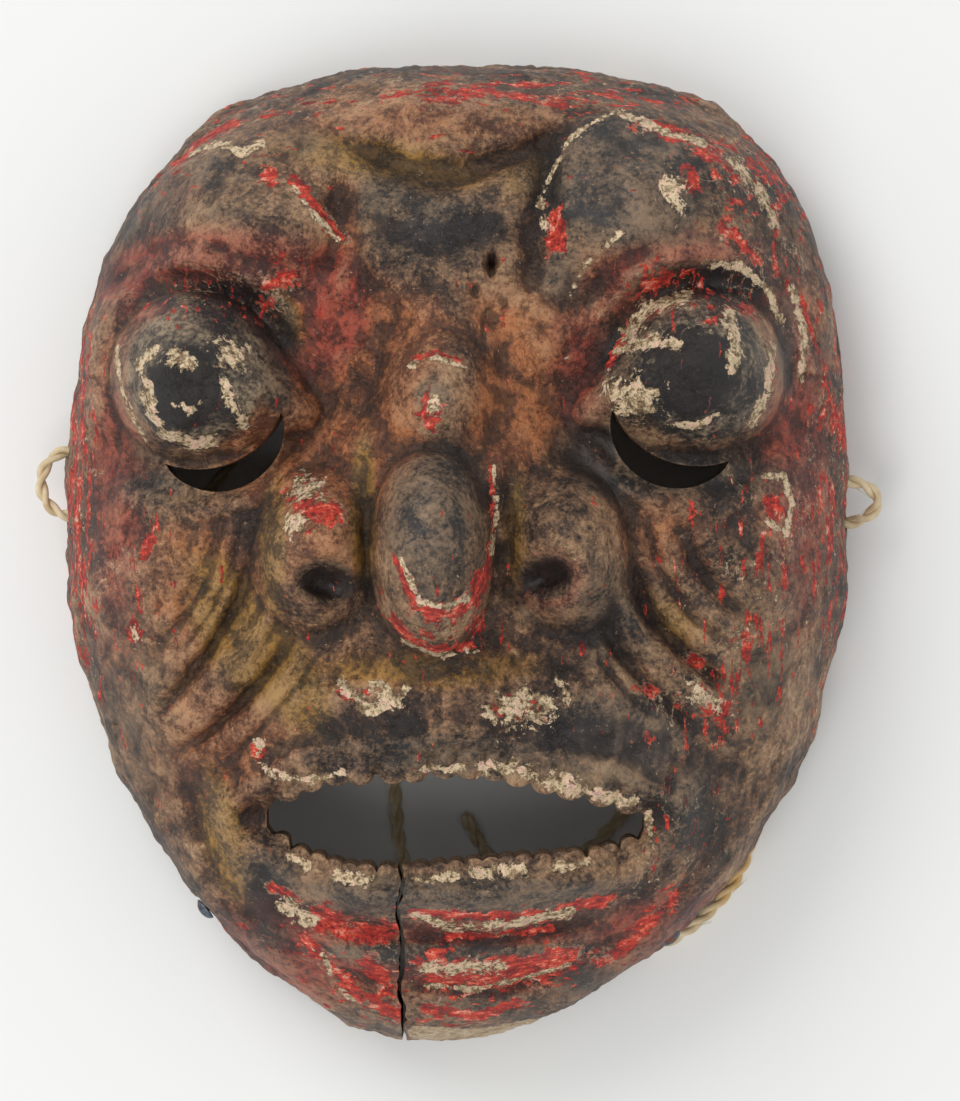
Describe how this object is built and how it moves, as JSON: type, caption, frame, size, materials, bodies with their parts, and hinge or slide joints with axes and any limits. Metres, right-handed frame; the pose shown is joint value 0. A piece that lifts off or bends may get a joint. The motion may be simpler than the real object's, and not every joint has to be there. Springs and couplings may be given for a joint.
{
  "type": "carved wooden mask",
  "caption": "Carved wooden theatre mask with bulging eyes, a broad nose and an open mouth, hollow behind, tied with a twine head cord.",
  "frame": {"origin": "centre of the mask's outline, on the surface that its rim lies on", "axes": "+Z the way the face looks (up, as the mask lies on its back), +Y towards the crown, +X towards the viewer's right"},
  "size_m": [0.1692, 0.195, 0.0917],
  "materials": {
    "lacquered_wood": "worn dark lacquer over red and cream grounds",
    "hemp_twine": "twisted two-ply hemp",
    "old_iron": "dull, corroded"
  },
  "bodies": {
    "root": {"mask_shell": "lacquered_wood", "left_bight": "hemp_twine", "right_bight": "hemp_twine", "left_knot": "hemp_twine", "right_knot": "hemp_twine", "head_cord": "hemp_twine", "cord_tail": "hemp_twine", "left_jaw_nail": "old_iron", "right_jaw_nail": "old_iron"}
  },
  "joints": []
}
